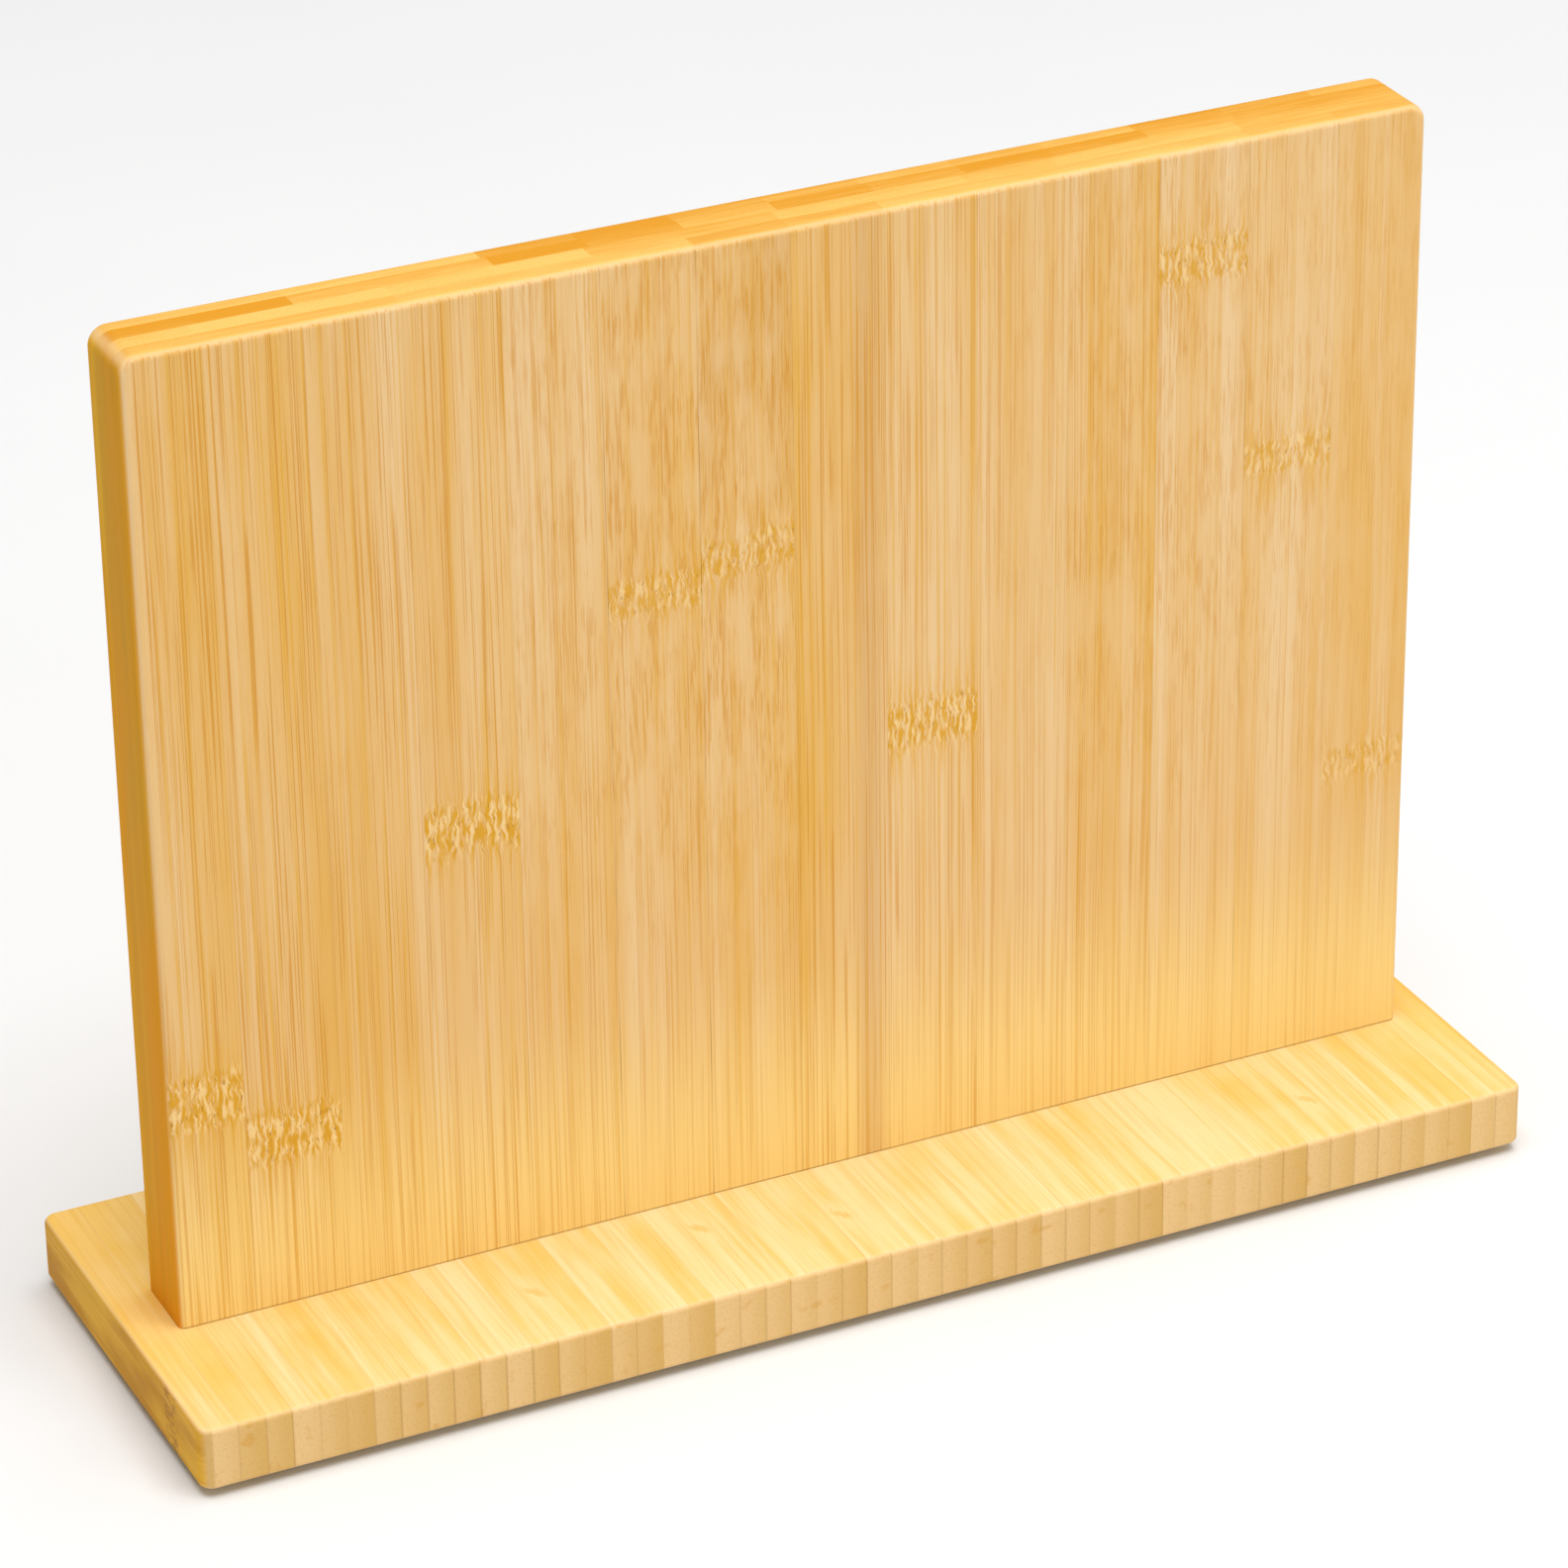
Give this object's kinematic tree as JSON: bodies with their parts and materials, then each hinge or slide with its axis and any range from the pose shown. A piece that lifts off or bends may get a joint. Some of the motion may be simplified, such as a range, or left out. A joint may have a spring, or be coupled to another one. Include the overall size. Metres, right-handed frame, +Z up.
{
  "type": "magnetic knife rack",
  "caption": "Free-standing double-sided magnetic knife rack: an upright laminated bamboo panel with hidden magnets, screwed to a flat bamboo base on rubber feet.",
  "frame": {"origin": "on the surface that the feet stand on, under the middle of the base", "axes": "+X along the rack's length, +Y from its front knife face to its rear one, +Z up"},
  "size_m": [0.3, 0.092, 0.228],
  "materials": {
    "panel_bamboo": "natural bamboo, flat-pressed strips, satin lacquer",
    "base_bamboo": "natural bamboo, side-pressed strips, satin lacquer",
    "magnet_nickel": "nickel-plated neodymium",
    "screw_zinc": "zinc-plated steel",
    "foot_rubber": "matt black rubber"
  },
  "bodies": {
    "root": {"base_strips_01": "base_bamboo", "base_strips_02": "base_bamboo", "base_strips_03": "base_bamboo", "base_strips_04": "base_bamboo", "base_strips_05": "base_bamboo", "base_strips_06": "base_bamboo", "base_strips_07": "base_bamboo", "foot_front_left": "foot_rubber", "foot_front_right": "foot_rubber", "foot_rear_left": "foot_rubber", "foot_rear_right": "foot_rubber", "front_core_strips": "panel_bamboo", "front_strip_01": "panel_bamboo", "front_strip_02": "panel_bamboo", "front_strip_03": "panel_bamboo", "front_strip_04": "panel_bamboo", "front_strip_05": "panel_bamboo", "front_strip_06": "panel_bamboo", "front_strip_07": "panel_bamboo", "front_strip_08": "panel_bamboo", "front_strip_09": "panel_bamboo", "front_strip_10": "panel_bamboo", "front_strip_11": "panel_bamboo", "front_strip_12": "panel_bamboo", "front_strip_13": "panel_bamboo", "front_strip_14": "panel_bamboo", "magnets_front_lower": "magnet_nickel", "magnets_front_upper": "magnet_nickel", "magnets_rear_lower": "magnet_nickel", "magnets_rear_upper": "magnet_nickel", "panel_screws": "screw_zinc", "rear_core_strips": "panel_bamboo", "rear_strip_01": "panel_bamboo", "rear_strip_02": "panel_bamboo", "rear_strip_03": "panel_bamboo", "rear_strip_04": "panel_bamboo", "rear_strip_05": "panel_bamboo", "rear_strip_06": "panel_bamboo", "rear_strip_07": "panel_bamboo", "rear_strip_08": "panel_bamboo", "rear_strip_09": "panel_bamboo", "rear_strip_10": "panel_bamboo", "rear_strip_11": "panel_bamboo", "rear_strip_12": "panel_bamboo", "rear_strip_13": "panel_bamboo", "rear_strip_14": "panel_bamboo"}
  },
  "joints": []
}
